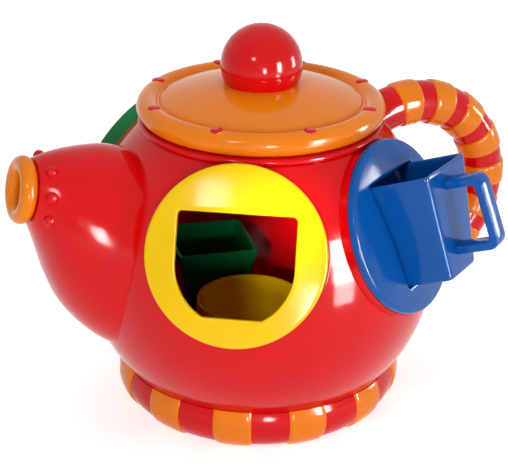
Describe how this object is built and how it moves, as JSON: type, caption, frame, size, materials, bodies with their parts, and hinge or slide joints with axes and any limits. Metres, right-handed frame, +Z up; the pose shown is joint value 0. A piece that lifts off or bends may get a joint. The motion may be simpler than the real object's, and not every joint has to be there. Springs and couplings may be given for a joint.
{
  "type": "toy teapot shape sorter",
  "caption": "Round toy teapot with a lift-off lid, a banded loop handle and base, and domed panels whose holes take cups of matching shape",
  "frame": {"origin": "on the pot's upright axis, in the plane that the base rests on", "axes": "+Z up, spout along -X, handle along +X, yellow and blue panels toward -Y"},
  "size_m": [0.2402, 0.1827, 0.1752],
  "materials": {
    "red_plastic": "glossy moulded plastic",
    "orange_plastic": "glossy moulded plastic",
    "yellow_plastic": "glossy moulded plastic",
    "blue_plastic": "glossy moulded plastic",
    "green_plastic": "glossy moulded plastic"
  },
  "bodies": {
    "pot": {"body_shell": "red_plastic", "pot_floor": "red_plastic", "neck_ring": "red_plastic", "base_ring": "red_plastic", "base_bands": "orange_plastic", "base_plate": "red_plastic", "spout": "red_plastic", "spout_lip": "orange_plastic", "handle_core": "red_plastic", "handle_bands": "orange_plastic", "panel_yellow": "yellow_plastic", "panel_blue": "blue_plastic", "panel_green": "green_plastic", "spout_bumps": "red_plastic"},
    "lid_unit": {"lid": "orange_plastic", "lid_dots": "red_plastic", "knob": "red_plastic"},
    "blue_cup": {"cup_blue": "blue_plastic", "cup_blue_handle": "blue_plastic"},
    "yellow_cup": {"cup_yellow": "yellow_plastic", "cup_yellow_handle": "yellow_plastic"},
    "green_cup": {"cup_green": "green_plastic", "cup_green_handle": "green_plastic"}
  },
  "joints": [
    {"name": "lid_lift", "type": "slide", "parent": "pot", "child": "lid_unit", "axis": [0, 0, 1], "range_m": [0, 0.06]},
    {"name": "blue_cup_draw", "type": "slide", "parent": "pot", "child": "blue_cup", "axis": [0.5185, -0.7687, 0.3746], "range_m": [0, 0.045]},
    {"name": "yellow_cup_lift", "type": "slide", "parent": "pot", "child": "yellow_cup", "axis": [0, 0, 1], "range_m": [0, 0.02]},
    {"name": "green_cup_lift", "type": "slide", "parent": "pot", "child": "green_cup", "axis": [0, 0, 1], "range_m": [0, 0.02]}
  ]
}
